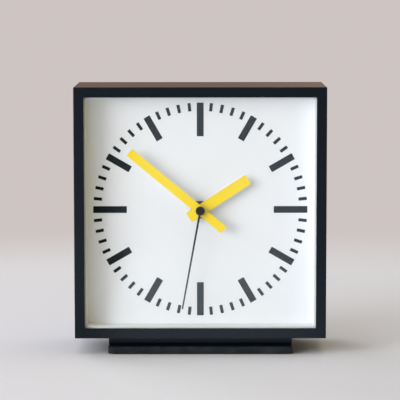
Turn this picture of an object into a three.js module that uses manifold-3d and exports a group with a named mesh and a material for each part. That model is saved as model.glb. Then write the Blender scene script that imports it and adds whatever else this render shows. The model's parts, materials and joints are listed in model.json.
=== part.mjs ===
// Square mantel clock: a mitred lacquered case on a stepped base, glazed in front,
// with a white dial, three hands and a geared quartz movement behind it.
// Millimetres, +Z up. The dial faces -Y, and the origin is the centre of the base's underside.
import * as THREE from "three";
import { mergeVertices } from "three/addons/utils/BufferGeometryUtils.js";
import Module from "manifold-3d";

const wasm = await Module();
wasm.setup();

// Case
const caseWidth = 185;
const caseHeight = 185;
const caseDepth = 75;
const frameFace = 7.5; // width of the frame's face round the opening
const boardThickness = 5; // board behind the lip
const lipThickness = 1.8;
const edgeRadius = 0.6;
const glueLine = 0.1; // between mitred ends
const film = 0.05; // bedding between faces that lie on each other
const slip = 0.3; // play round sheets that drop into the case
const past = 1; // how far a cutting tool runs past the faces that it cuts

// Base
const baseWidth = 136;
const slabDepth = 75;
const slabThickness = 5.2;
const riserHeight = 6;
const riserSetBack = 12; // behind the slab's front and before its back
const feltThickness = 0.8;
const feltInset = 3;
const feltCornerRadius = 2;
const baseScrewInset = 18; // from the slab's ends
const baseScrewSetBack = 10; // behind the riser's front and before its back

// Glass, lining and dial
const glassThickness = 1.8;
const liningShows = 1.2; // what the lining shows inside the opening
const dialDepth = 16; // from the frame's face to the dial
const dialThickness = 0.5;
const dialBoardThickness = 3;
const axisAboveCentre = 1.3; // hands' axis above the middle of the case
const batonRise = 0.15;
const batonOuterRadius = 79.1;
const quarterBaton = { length: 24.8, width: 5 };
const hourBaton = { length: 19.4, width: 5 };
const minuteBaton = { length: 6.1, width: 2.15 };

// Rear panel and corner blocks
const panelThickness = 3;
const panelInset = 1; // from the case's back edge
const windowSize = 76;
const windowCornerRadius = 6;
const blockSize = 12;
const blockChamfer = 4;

// Screws
const panelScrew = { length: 12, shank: 1.3, head: 3 };
const baseScrew = { length: 14, shank: 1.75, head: 3.6 };
const screwHeadEdge = 0.3;
const screwClearance = 0.2; // radial, round a screw
const crossWidth = 0.7;
const crossDepth = 1;
const crossReach = 0.55; // of the head's radius
const screwPoint = 1.5;
const screwTipRadius = 0.4;

// Hands: reach is from the axis to the tip, tail is behind the axis
const hourHand = { width: 8.1, reach: 42, tail: 10 };
const minuteHand = { width: 6.4, reach: 67.6, tail: 22.5 };
const secondHand = { rootWidth: 1.4, tipWidth: 1, reach: 74 };
const handThickness = 0.5;
const needleThickness = 0.3;
const capRadius = 3.35;
const capHeight = 1.4;
const capToGlass = 0.8;
const capEdge = 0.3;
const capWall = 0.4; // in front of the hole for the arbor
const collarWall = 0.9;
const collarLength = 1.1;
const secondCollarLength = 1.6;
const handSpacing = 2.4; // face to face, second to minute hand and minute to hour hand
const minuteArborShows = 0.3; // past the minute hand's face
const hourTubeShows = 0.2; // past the hour hand's face

// Time shown: degrees clockwise from twelve
const hourHandAngle = 57;
const minuteHandAngle = 309.6;
const secondHandAngle = 190.3;

// Arbors and the tubes round them, radii
const pinRadius = 0.45;
const minuteArborRadius = 1.75;
const minuteArborBore = 0.62;
const hourTubeRadius = 2.6;
const hourTubeBore = 1.95;
const bushRadius = 4;
const bushBore = 2.78;
const fit = 0.1; // radial play of a pin in its hole or of a hand on its arbor

// Bush, nut and washers
const bushFlangeRadius = 5.4;
const bushFlangeThickness = 0.4;
const bushPastNut = 0.5;
const nutAcrossFlats = 12;
const nutThickness = 2.1;
const washerRadius = 6.2;
const washerThickness = 0.5;
const rubberWasherRadius = 9;
const rubberWasherThickness = 0.8;

// Movement shells
const movementSize = 57;
const movementDepth = 16;
const shellWall = 1.2;
const shellCornerRadius = 2.5;
const frontShellRim = 4; // height of the front shell's wall inside
const bearingRadius = 1.4; // outside of a bearing boss
const bearingLength = 1.1;
const pillarRadius = 1.6;
const pillarMargin = 1; // between a pillar or post and the edge beside it
const postRadius = 1;
const overlap = 0.2; // how far a boss is rooted in the wall that carries it

// Gear train: layers are counted from the front shell towards the back
const gearThickness = 1;
const layerGap = 0.5;
const firstLayerGap = 0.5; // from the front shell's wall to the first layer
const middlePlateThickness = 1;
const middlePlateCornerRadius = 1;
const pinFrontPlay = 0.2; // from the middle plate's front to the end of a pin that pivots in it
const pinBackPlay = 0.3; // from the end of a pin to the rear shell's wall
const rotorTeeth = 6;
const intermediateTeeth = { wheel: 36, pinion: 6 };
const secondTeeth = { wheel: 30, pinion: 8 };
const thirdTeeth = { wheel: 60, pinion: 8 };
const centreTeeth = 64;
const minuteArborTeeth = 12;
const minuteTeeth = { wheel: 36, pinion: 10 };
const hourTeeth = 40;
const settingTeeth = 12;
const rotorModule = 0.37;
const secondWheelModule = 0.53;
const secondPinionModule = 0.36;
const minuteArborModule = 0.4;
const hubs = { second: 3, intermediate: 2, rotor: 2, minute: 3.5 }; // radii behind the pinions, in modules

// Directions of the arbors from the axis, degrees anticlockwise from the right as seen from the front
const motorDirection = -8;
const thirdDirection = 135;
const settingDirection = 45;

// Motor, circuit and battery
const magnetRadius = 2.6;
const magnetThickness = 1.2;
const statorThickness = 0.8;
const statorHoleRadius = 3.1;
const statorMargin = 1.2; // metal left beside the rotor's hole
const statorHeight = 21;
const coilRadius = 2.3;
const coilFlangeRadius = 2.6;
const coilFlangeThickness = 0.6;
const coilLength = 13;
const coreWidth = 3.4;
const coreThickness = 0.8;
const circuitWidth = 22;
const circuitHeight = 9;
const circuitThickness = 0.8;
const circuitDepth = 10.9; // behind the movement's front face
const circuitMargin = 1; // from the shell's walls
const circuitPostInset = 2; // from the board's ends
const crystalRadius = 1;
const crystalLength = 6;
const chipRadius = 2.4;
const chipHeight = 1;
const chipShoulder = { radius: 0.6, height: 0.8 }; // as shares of the drop's own
const batteryRadius = 7.1;
const batteryLength = 50.5;
const nubRadius = 2.7;
const nubLength = 1.3;
const batteryEdge = 0.5; // chamfer at the can's ends
const batteryPlay = 0.5;
const bayWall = 0.6;
const contactThickness = 0.4;
const contactWidth = 8;
const contactToBattery = 0.2;
const contactFoot = 5.5; // half its height on the bay's end wall
const contactBend = 4; // half the height of its sprung part

// Setting knob
const settingPinRadius = 0.8;
const settingSpindleRadius = 1.1;
const knobRadius = 5;
const knobThickness = 3;
const knobRibs = 18;
const knobRibDepth = 0.5;
const knobCollarRadius = 2.4;
const knobCollarLength = 2;

// Worked out from the sizes above. A depth is measured from the frame's face towards the back.
const baseHeight = feltThickness + slabThickness + riserHeight;
const caseCentreHeight = baseHeight + caseHeight / 2;
const glassFront = lipThickness + film;
const glassBack = glassFront + glassThickness;
const liningFront = glassBack + film;
const liningBack = dialDepth - film;
const dialBoardFront = dialDepth + dialThickness + film;
const dialBoardBack = dialBoardFront + dialBoardThickness;
const movementFront = dialBoardBack + rubberWasherThickness + 2 * film;
const movementBack = movementFront + movementDepth;
const panelBack = caseDepth - panelInset;
const panelFront = panelBack - panelThickness;
const blockFront = dialBoardBack + film;
const blockBack = panelFront - film;
const wellWidth = caseWidth - 2 * boardThickness;
const wellHeight = caseHeight - 2 * boardThickness;

// Colour, roughness and metalness of each finish
const finish = (color, roughness, metalness = 0) =>
  new THREE.MeshStandardMaterial({ color, roughness, metalness });
const blackLacquer = finish(0x1d2329, 0.45);
const whitePlastic = finish(0xe9edf0, 0.5);
const clearGlass = finish(0xdfe8ea, 0.05);
const dialWhite = finish(0xecedf1, 0.6);
const hardboard = finish(0x2b2522, 0.85);
const plainWood = finish(0xc9a878, 0.8);
const feltBlack = finish(0x17181a, 1);
const yellowPaint = finish(0xfddb37, 0.5);
const blackPaint = finish(0x2e2f34, 0.5);
const brass = finish(0xc9a14a, 0.35, 1);
const steel = finish(0x9a9da0, 0.4, 1);
const darkSteel = finish(0x3c3b3a, 0.5, 0.8);
const blackPlastic = finish(0x1b1c1e, 0.55);
const gearPlastic = finish(0xe6e2d4, 0.5);
const copper = finish(0xb4653a, 0.4, 1);
const circuitGreen = finish(0x2f6b45, 0.6);
const rubber = finish(0x1a1a1a, 0.9);
const batteryJacket = finish(0x2f3f52, 0.35);

// Facets round a circle: fine where it shows, medium on running fits, coarse on pins and screws
const fine = 32;
const medium = 20;
const coarse = 10;

// Closed mesh to solid, and back
function solidFrom(geometry) {
  const bare = geometry.index ? geometry.toNonIndexed() : geometry.clone();
  bare.deleteAttribute("normal");
  bare.deleteAttribute("uv");
  const merged = mergeVertices(bare, 1e-4);
  return new wasm.Manifold(
    new wasm.Mesh({
      numProp: 3,
      vertProperties: merged.attributes.position.array,
      triVerts: new Uint32Array(merged.index.array),
    }),
  );
}

function geometryFrom(solid) {
  const made = solid.getMesh();
  const geometry = new THREE.BufferGeometry();
  geometry.setAttribute("position", new THREE.BufferAttribute(Float32Array.from(made.vertProperties), 3));
  geometry.setIndex(new THREE.BufferAttribute(Uint32Array.from(made.triVerts), 1));
  geometry.computeVertexNormals();
  return geometry;
}

// Solids are drawn as seen from the front: x to the right, y up, and z towards the viewer
function plate(shape, front, back, curveSegments = 12) {
  const geometry = new THREE.ExtrudeGeometry(shape, {
    depth: back - front,
    bevelEnabled: false,
    curveSegments,
  });
  return solidFrom(geometry.translate(0, 0, -back));
}

// A turned solid on the z axis from a closed outline of [radius, depth] points
function turned(outline, segments = medium) {
  const points = outline.map(([radius, depth]) => new THREE.Vector2(radius, -depth));
  points.push(points[0].clone());
  if (THREE.ShapeUtils.area(points) < 0) points.reverse();
  const geometry = new THREE.LatheGeometry(points, segments);
  return solidFrom(geometry.rotateX(Math.PI / 2));
}

function rod(radius, front, back, segments = coarse) {
  return turned([[0, front], [radius, front], [radius, back], [0, back]], segments);
}

function tube(radius, bore, front, back, segments = medium) {
  return turned([[bore, front], [radius, front], [radius, back], [bore, back]], segments);
}

function block(x0, x1, y0, y1, front, back) {
  const geometry = new THREE.BoxGeometry(x1 - x0, y1 - y0, back - front);
  geometry.translate((x0 + x1) / 2, (y0 + y1) / 2, -(front + back) / 2);
  return solidFrom(geometry);
}

const joined = (first, ...others) => others.reduce((whole, piece) => whole.add(piece), first);
const cut = (first, ...others) => others.reduce((whole, piece) => whole.subtract(piece), first);

// Outlines
function roundedRectangle(width, height, radius) {
  const x = width / 2;
  const y = height / 2;
  const shape = new THREE.Shape();
  shape.moveTo(-x + radius, -y);
  shape.lineTo(x - radius, -y);
  shape.absarc(x - radius, -y + radius, radius, -Math.PI / 2, 0);
  shape.lineTo(x, y - radius);
  shape.absarc(x - radius, y - radius, radius, 0, Math.PI / 2);
  shape.lineTo(-x + radius, y);
  shape.absarc(-x + radius, y - radius, radius, Math.PI / 2, Math.PI);
  shape.lineTo(-x, -y + radius);
  shape.absarc(-x + radius, -y + radius, radius, Math.PI, 1.5 * Math.PI);
  return shape;
}

function rectangle(width, height) {
  const x = width / 2;
  const y = height / 2;
  return polygon([[-x, -y], [x, -y], [x, y], [-x, y]]);
}

function polygon(points) {
  return new THREE.Shape(points.map(([x, y]) => new THREE.Vector2(x, y)));
}

// Gear outline: each tooth is a trapezium, thinner than its space so that the train runs free
const addendum = 0.8;
const dedendum = 1.25;
function gearOutline(teeth, module) {
  const tip = (teeth / 2 + addendum) * module;
  const root = (teeth / 2 - dedendum) * module;
  const pitch = (2 * Math.PI) / teeth;
  const rootShare = 0.31;
  const tipShare = 0.11;
  const points = [];
  for (let tooth = 0; tooth < teeth; tooth++) {
    const middle = tooth * pitch;
    points.push(polar(root, middle - rootShare * pitch));
    points.push(polar(tip, middle - tipShare * pitch));
    points.push(polar(tip, middle + tipShare * pitch));
    points.push(polar(root, middle + rootShare * pitch));
  }
  return polygon(points);
}

function polar(radius, angle) {
  return [radius * Math.cos(angle), radius * Math.sin(angle)];
}

// A gear in its layer, as a solid disc of teeth
function gear(teeth, module, layer) {
  return plate(gearOutline(teeth, module), layer, layer + gearThickness);
}

// The model: one group stands in the case's middle, and one on the hands' axis
const clock = new THREE.Group();
const caseFrame = new THREE.Group();
caseFrame.rotation.x = Math.PI / 2;
caseFrame.position.set(0, -caseDepth / 2, caseCentreHeight);
const axisFrame = new THREE.Group();
axisFrame.position.y = axisAboveCentre;
caseFrame.add(axisFrame);
clock.add(caseFrame);

function addPart(parent, name, solid, material) {
  const mesh = new THREE.Mesh(geometryFrom(solid), material);
  mesh.name = name;
  parent.add(mesh);
  return mesh;
}

// A side of a mitred frame: the section's [inward, depth] points are swept along the side,
// and each end slopes at 45 degrees from the outer corner
function mitredSide(section, halfLength, halfSpan) {
  const points = section.map(([inward, depth]) => new THREE.Vector2(inward, depth));
  if (THREE.ShapeUtils.area(points) < 0) points.reverse();
  const count = points.length;
  const position = [];
  for (const end of [-1, 1]) {
    for (const point of points) {
      position.push(end * (halfLength - point.x - glueLine / 2), halfSpan - point.x, -point.y);
    }
  }
  const index = [];
  for (let i = 0; i < count; i++) {
    const next = (i + 1) % count;
    index.push(i, next, count + next, i, count + next, count + i);
  }
  for (const [a, b, c] of THREE.ShapeUtils.triangulateShape(points, [])) {
    index.push(a, c, b, count + a, count + b, count + c);
  }
  const geometry = new THREE.BufferGeometry();
  geometry.setAttribute("position", new THREE.Float32BufferAttribute(position, 3));
  geometry.setIndex(index);
  return solidFrom(geometry);
}

// The four sides of a frame, turned to their places
const sides = [
  { name: "top", turn: 0 },
  { name: "left", turn: 90 },
  { name: "bottom", turn: 180 },
  { name: "right", turn: 270 },
];

function addMitredFrame(prefix, suffix, section, material, finishSide) {
  for (const { name, turn } of sides) {
    const upright = turn % 180 !== 0;
    const halfLength = (upright ? caseHeight : caseWidth) / 2;
    const halfSpan = (upright ? caseWidth : caseHeight) / 2;
    const side = mitredSide(section, halfLength, halfSpan);
    const turnedSide = solidFrom(geometryFrom(side).rotateZ(THREE.MathUtils.degToRad(turn)));
    addPart(caseFrame, prefix + name + suffix, finishSide(turnedSide, name), material);
  }
}

// Quarter round of the given radius about [inward, depth], between two angles in degrees
function roundedEdge(inward, depth, radius, from, to) {
  const steps = 3;
  const points = [];
  for (let i = 0; i <= steps; i++) {
    const [dx, dy] = polar(radius, THREE.MathUtils.degToRad(from + ((to - from) * i) / steps));
    points.push([inward + dx, depth + dy]);
  }
  return points;
}

// Case boards: a lip round the opening, then a thinner board back to the rear edge
const boardSection = [
  ...roundedEdge(edgeRadius, edgeRadius, edgeRadius, 180, 270),
  ...roundedEdge(frameFace - edgeRadius, edgeRadius, edgeRadius, 270, 360),
  [frameFace, lipThickness],
  [boardThickness, lipThickness],
  [boardThickness, caseDepth],
  ...roundedEdge(edgeRadius, caseDepth - edgeRadius, edgeRadius, 90, 180),
];

// Base screws: their places from the case's middle, and where their heads lie
const baseScrewX = baseWidth / 2 - baseScrewInset;
const baseScrewDepth = slabDepth / 2 - riserSetBack - baseScrewSetBack;
const baseScrewPlaces = [-1, 1].flatMap((x) => [-1, 1].map((y) => [x * baseScrewX, y * baseScrewDepth]));
const baseScrewHeadHeight = feltThickness + film;

// A screw along +z, with the outer face of its countersunk head at z = 0
function screwBlank({ length, shank, head }) {
  const coneEnd = screwHeadEdge + head - shank;
  const outline = [
    [0, 0],
    [head, 0],
    [head, -screwHeadEdge],
    [shank, -coneEnd],
    [shank, screwPoint - length],
    [screwTipRadius, -length],
    [0, -length],
  ];
  return turned(outline, coarse);
}

function crossHeadScrew(size) {
  const reach = size.head * crossReach;
  const arm = (x, y) => block(-x, x, -y, y, -crossDepth, past);
  return cut(screwBlank(size), arm(reach, crossWidth / 2), arm(crossWidth / 2, reach));
}

// The room that a countersunk screw needs, up to `through` along its shank
function screwHole({ shank, head }, through) {
  const bore = shank + screwClearance;
  const mouth = head + screwClearance;
  const coneEnd = screwHeadEdge + mouth - bore + screwClearance;
  const outline = [
    [0, past],
    [mouth, past],
    [mouth, -screwHeadEdge],
    [bore, -coneEnd],
    [bore, -through],
    [0, -through],
  ];
  return turned(outline, coarse);
}

const pilotHole = ({ length, shank }) => rod(shank + screwClearance, -length - past, 0);

// The base's holes rise along +Z; inside the case's frame that is +y
function baseHoles(hole) {
  const raised = geometryFrom(hole).rotateX(-Math.PI / 2);
  return baseScrewPlaces.map(([x, y]) =>
    solidFrom(raised.clone().translate(x, baseScrewHeadHeight - caseCentreHeight, -caseDepth / 2 - y)),
  );
}

addMitredFrame("case_", "_board", boardSection, blackLacquer, (side, name) =>
  name === "bottom" ? cut(side, ...baseHoles(pilotHole(baseScrew))) : side,
);

// Lining strips between the glass and the dial
const liningOuter = boardThickness + slip;
const liningInner = frameFace + liningShows;
const liningSection = [
  [liningOuter, liningFront],
  [liningInner, liningFront],
  [liningInner, liningBack],
  [liningOuter, liningBack],
];
addMitredFrame("lining_", "", liningSection, whitePlastic, (side) => side);

// Glass
const sheetWidth = wellWidth - 2 * slip;
const sheetHeight = wellHeight - 2 * slip;
const sheet = rectangle(sheetWidth, sheetHeight);
addPart(caseFrame, "front_glass", plate(sheet, glassFront, glassBack), clearGlass);

// Dial plate with raised batons: long at the quarters, shorter at the other hours, short at the minutes
function baton(minute) {
  const size = minute % 15 === 0 ? quarterBaton : minute % 5 === 0 ? hourBaton : minuteBaton;
  const outline = rectangle(size.width, size.length);
  const geometry = new THREE.ExtrudeGeometry(outline, {
    depth: batonRise + dialThickness / 2,
    bevelEnabled: false,
  });
  geometry.translate(0, batonOuterRadius - size.length / 2, -dialDepth - dialThickness / 2);
  geometry.rotateZ(-(minute / 60) * 2 * Math.PI);
  return solidFrom(geometry.translate(0, axisAboveCentre, 0));
}

const bushHole = (front, back) =>
  solidFrom(geometryFrom(rod(bushRadius + fit, front, back, medium)).translate(0, axisAboveCentre, 0));
const batons = Array.from({ length: 60 }, (_, minute) => baton(minute));
const dialBlank = joined(plate(sheet, dialDepth, dialDepth + dialThickness), ...batons);
const dialHole = bushHole(dialDepth - past, dialBoardFront + past);
addPart(caseFrame, "dial_plate", cut(dialBlank, dialHole), dialWhite);

const dialBoard = plate(sheet, dialBoardFront, dialBoardBack);
addPart(caseFrame, "dial_board", cut(dialBoard, bushHole(dialDepth, dialBoardBack + past)), plainWood);

// Corner blocks and the rear panel screwed to them
const blockOuterX = wellWidth / 2 - film;
const blockOuterY = wellHeight / 2 - film;
const corners = [
  { name: "upper_left", x: -1, y: 1 },
  { name: "upper_right", x: 1, y: 1 },
  { name: "lower_left", x: -1, y: -1 },
  { name: "lower_right", x: 1, y: -1 },
];
const panelScrewX = blockOuterX - blockSize / 2;
const panelScrewY = blockOuterY - blockSize / 2;

function cornerBlock() {
  const inner = -blockSize / 2;
  const outer = blockSize / 2;
  const outline = polygon([
    [inner + blockChamfer, inner],
    [outer, inner],
    [outer, outer],
    [inner, outer],
    [inner, inner + blockChamfer],
  ]);
  const bore = geometryFrom(pilotHole(panelScrew)).translate(0, 0, -panelBack);
  return cut(plate(outline, blockFront, blockBack), solidFrom(bore));
}

const windowOutline = roundedRectangle(windowSize, windowSize, windowCornerRadius);
const panelWindow = solidFrom(
  geometryFrom(plate(windowOutline, panelFront - past, panelBack + past, 5)).translate(0, axisAboveCentre, 0),
);
let rearPanel = cut(plate(sheet, panelFront, panelBack), panelWindow);
for (const { name, x, y } of corners) {
  const quarterTurn = { upper_right: 0, upper_left: 1, lower_left: 2, lower_right: 3 }[name];
  const blockMesh = addPart(caseFrame, "corner_block_" + name, cornerBlock(), plainWood);
  blockMesh.rotation.z = (quarterTurn * Math.PI) / 2;
  blockMesh.position.set(x * panelScrewX, y * panelScrewY, 0);
  const screw = addPart(caseFrame, "rear_panel_screw_" + name, crossHeadScrew(panelScrew), steel);
  screw.position.set(x * panelScrewX, y * panelScrewY, -panelBack);
  const hole = geometryFrom(screwHole(panelScrew, panelThickness + past));
  rearPanel = cut(rearPanel, solidFrom(hole.translate(x * panelScrewX, y * panelScrewY, -panelBack)));
}
addPart(caseFrame, "rear_panel", rearPanel, hardboard);

// Base: felt, slab and riser, screwed up into the case's bottom board
function easedSlab(width, depth, bottom, top) {
  const geometry = new THREE.ExtrudeGeometry(rectangle(width, depth), {
    depth: top - bottom - 2 * edgeRadius,
    bevelThickness: edgeRadius,
    bevelSize: edgeRadius,
    bevelOffset: -edgeRadius,
    bevelSegments: 2,
  });
  return solidFrom(geometry.translate(0, 0, bottom + edgeRadius));
}

const slabBottom = feltThickness + film;
const slabTop = feltThickness + slabThickness;
const riserDepth = slabDepth - 2 * riserSetBack;
const baseScrewHoles = baseScrewPlaces.map(([x, y]) =>
  solidFrom(geometryFrom(screwHole(baseScrew, baseScrew.length)).translate(x, y, baseScrewHeadHeight)),
);
const slab = easedSlab(baseWidth, slabDepth, slabBottom, slabTop);
addPart(clock, "base_slab", cut(slab, ...baseScrewHoles), blackLacquer);
const riserBox = new THREE.BoxGeometry(baseWidth, riserDepth, riserHeight - 2 * film);
riserBox.translate(0, 0, slabTop + riserHeight / 2);
addPart(clock, "base_riser", cut(solidFrom(riserBox), ...baseScrewHoles), blackLacquer);
const feltOutline = roundedRectangle(baseWidth - 2 * feltInset, slabDepth - 2 * feltInset, feltCornerRadius);
const felt = solidFrom(
  new THREE.ExtrudeGeometry(feltOutline, { depth: feltThickness, bevelEnabled: false, curveSegments: 4 }),
);
addPart(clock, "base_felt", felt, feltBlack);
baseScrewPlaces.forEach(([x, y], i) => {
  const screw = addPart(clock, "base_screw_" + (i + 1), screwBlank(baseScrew), steel);
  screw.position.set(x, y, baseScrewHeadHeight);
});

// Movement, on the hands' axis: the layers of its train, by depth
const inside = movementFront + shellWall; // the front shell's wall ends here
const backInside = movementBack - shellWall;
const layerStep = gearThickness + layerGap;
const hourLayer = inside + firstLayerGap;
const minuteLayer = hourLayer + layerStep;
const centreLayer = minuteLayer + layerStep;
const middlePlateFront = centreLayer + gearThickness + layerGap;
const middlePlateBack = middlePlateFront + middlePlateThickness;
const thirdLayer = middlePlateBack + layerGap;
const secondLayer = thirdLayer + layerStep;
const motorLayer = secondLayer + layerStep;
const statorFront = motorLayer + gearThickness + layerGap;
const pinFront = middlePlateFront + pinFrontPlay;
const pinBack = backInside - pinBackPlay;

// Modules of the gears that share two arbors, and the arbors' distances
const centreDistance = (teethA, teethB, module) => ((teethA + teethB) * module) / 2;
const thirdDistance = centreDistance(secondTeeth.pinion, thirdTeeth.wheel, secondPinionModule);
const centreWheelModule = (2 * thirdDistance) / (thirdTeeth.pinion + centreTeeth);
const intermediateDistance = centreDistance(intermediateTeeth.pinion, secondTeeth.wheel, secondWheelModule);
const rotorDistance = intermediateDistance + centreDistance(rotorTeeth, intermediateTeeth.wheel, rotorModule);
const minuteWheelDistance = centreDistance(minuteArborTeeth, minuteTeeth.wheel, minuteArborModule);
const hourModule = (2 * minuteWheelDistance) / (minuteTeeth.pinion + hourTeeth);
const settingDistance =
  minuteWheelDistance + centreDistance(settingTeeth, minuteTeeth.wheel, minuteArborModule);
const place = (distance, degrees) => polar(distance, THREE.MathUtils.degToRad(degrees));
const thirdPlace = place(thirdDistance, thirdDirection);
const intermediatePlace = place(intermediateDistance, motorDirection);
const rotorPlace = place(rotorDistance, motorDirection);
const minuteWheelPlace = place(minuteWheelDistance, settingDirection);
const settingPlace = place(settingDistance, settingDirection);
const outerHalf = movementSize / 2;
const innerHalf = outerHalf - shellWall;

const at = (solid, [x, y]) => solidFrom(geometryFrom(solid).translate(x, y, 0));

// Turns a gear so that it meshes with one already set, whose tooth 0 points at `setTurn`,
// on the line between them at `direction` degrees from the set gear to the new one
function meshedTurn(setTeeth, setTurn, teeth, direction) {
  const line = THREE.MathUtils.degToRad(direction);
  const setPhase = ((line - setTurn) / (2 * Math.PI)) * setTeeth;
  return line + Math.PI + ((setPhase + 0.5) * 2 * Math.PI) / teeth;
}

// Battery bay along the bottom of the shells
const batteryCentreDepth = inside + slip + batteryRadius;
const batteryY = batteryRadius + batteryPlay - innerHalf;
const bayTop = batteryY + batteryRadius + batteryPlay;
const bayFloor = -innerHalf + film;
const bayHalf = innerHalf - film;

// Front shell: wall, rim, pillars for the middle plate, bearings and the minute wheel's post
const shellOutline = roundedRectangle(movementSize, movementSize, shellCornerRadius);
const shellInside = roundedRectangle(2 * innerHalf, 2 * innerHalf, shellCornerRadius - shellWall);
const pillarX = innerHalf - pillarRadius - pillarMargin;
const pillarPlaces = [
  [-pillarX, pillarX],
  [pillarX, pillarX],
  [-pillarX, bayTop + bayWall + pillarRadius + pillarMargin],
  [pillarX, bayTop + bayWall + pillarRadius + pillarMargin],
];
const rimBack = inside + frontShellRim;
const bearing = (bore, front, back, radius = bearingRadius) => tube(radius, bore, front, back, coarse);
const settingBore = settingPinRadius + fit;
const settingBearing = bearing(settingBore, inside - overlap, minuteLayer - fit, bearingRadius + fit);
const minutePostEnd = minuteLayer + gearThickness + fit;
const frontShell = cut(
  joined(
    cut(plate(shellOutline, movementFront, rimBack, 4), plate(shellInside, inside, rimBack + past, 4)),
    ...pillarPlaces.map((point) => at(rod(pillarRadius, inside - overlap, middlePlateFront - film), point)),
    at(rod(pinRadius + fit, inside - overlap, minutePostEnd), minuteWheelPlace),
    at(bearing(pinRadius + fit, inside - overlap, centreLayer - layerGap), thirdPlace),
    at(settingBearing, settingPlace),
  ),
  rod(bushRadius + fit, movementFront - past, inside + past, medium),
);
addPart(axisFrame, "movement_front_shell", frontShell, blackPlastic);

// Middle plate, over the pillars, with a hole for each arbor that passes or pivots in it
const plateTop = innerHalf - slip;
const plateBottom = bayTop + bayWall + slip;
const plateHeight = plateTop - plateBottom;
const throughPlate = (radius) => rod(radius, middlePlateFront - past, middlePlateBack + past);
const plateOutline = roundedRectangle(2 * plateTop, plateHeight, middlePlateCornerRadius);
const middlePlate = cut(
  at(plate(plateOutline, middlePlateFront, middlePlateBack, 3), [0, (plateTop + plateBottom) / 2]),
  throughPlate(pinRadius + 2 * fit),
  at(throughPlate(pinRadius + 2 * fit), thirdPlace),
  at(throughPlate(pinRadius + fit), intermediatePlace),
  at(throughPlate(pinRadius + fit), rotorPlace),
  at(throughPlate(settingSpindleRadius + 2 * fit), settingPlace),
);
addPart(axisFrame, "movement_middle_plate", middlePlate, blackPlastic);

// Motor: coil on its core beside the rotor, and the stator plate that joins both
const coilX = innerHalf - slip - coilFlangeRadius;
const coreFront = statorFront - film - coreThickness;
const coilDepth = coreFront + coreThickness / 2;
const coreReach = statorHeight / 2;
const coilProfile = [
  [0, -coilLength / 2],
  [coilFlangeRadius, -coilLength / 2],
  [coilFlangeRadius, coilFlangeThickness - coilLength / 2],
  [coilRadius, coilFlangeThickness - coilLength / 2],
  [coilRadius, coilLength / 2 - coilFlangeThickness],
  [coilFlangeRadius, coilLength / 2 - coilFlangeThickness],
  [coilFlangeRadius, coilLength / 2],
  [0, coilLength / 2],
];
const upright = geometryFrom(turned(coilProfile)).rotateX(Math.PI / 2);
const coreBack = coreFront + coreThickness;
const core = block(-coreWidth / 2, coreWidth / 2, -coreReach, coreReach, coreFront, coreBack);
const coil = joined(solidFrom(upright.translate(coilX, 0, -coilDepth)), at(core, [coilX, 0]));
addPart(axisFrame, "motor_coil", coil, copper);

const statorLeft = rotorPlace[0] - statorHoleRadius - statorMargin;
const statorRight = rotorPlace[0] + statorHoleRadius + statorMargin;
const armInner = coilLength / 2 + slip;
const armEnd = coilX + coreWidth / 2;
const statorOutline = polygon([
  [statorLeft, -coreReach],
  [armEnd, -coreReach],
  [armEnd, -armInner],
  [statorRight, -armInner],
  [statorRight, armInner],
  [armEnd, armInner],
  [armEnd, coreReach],
  [statorLeft, coreReach],
]);
const statorBack = statorFront + statorThickness;
const stator = cut(
  plate(statorOutline, statorFront, statorBack),
  at(rod(statorHoleRadius, statorFront - past, statorBack + past, medium), rotorPlace),
);
addPart(axisFrame, "motor_stator", stator, steel);

// Circuit board with the chip under its resin drop, and the crystal on it
const circuitFront = movementFront + circuitDepth;
const circuitBack = circuitFront + circuitThickness;
const circuitRight = innerHalf - circuitMargin;
const circuitX = circuitRight - circuitWidth / 2;
const circuitY = innerHalf - circuitMargin - circuitHeight / 2;
const chipOutline = [
  [0, circuitFront - chipHeight],
  [chipRadius * chipShoulder.radius, circuitFront - chipHeight * chipShoulder.height],
  [chipRadius, circuitFront + overlap],
  [0, circuitFront + overlap],
];
const circuit = joined(
  at(plate(rectangle(circuitWidth, circuitHeight), circuitFront, circuitBack), [circuitX, circuitY]),
  at(turned(chipOutline, coarse), [circuitX - circuitWidth / 4, circuitY]),
);
addPart(axisFrame, "circuit_board", circuit, circuitGreen);
const crystalCan = rod(crystalRadius, -crystalLength / 2, crystalLength / 2);
const crystalSolid = solidFrom(geometryFrom(crystalCan).rotateY(Math.PI / 2));
const crystal = addPart(axisFrame, "quartz_crystal", crystalSolid, steel);
crystal.position.set(circuitX + circuitWidth / 4, circuitY, -(circuitFront - film - crystalRadius));

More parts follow.
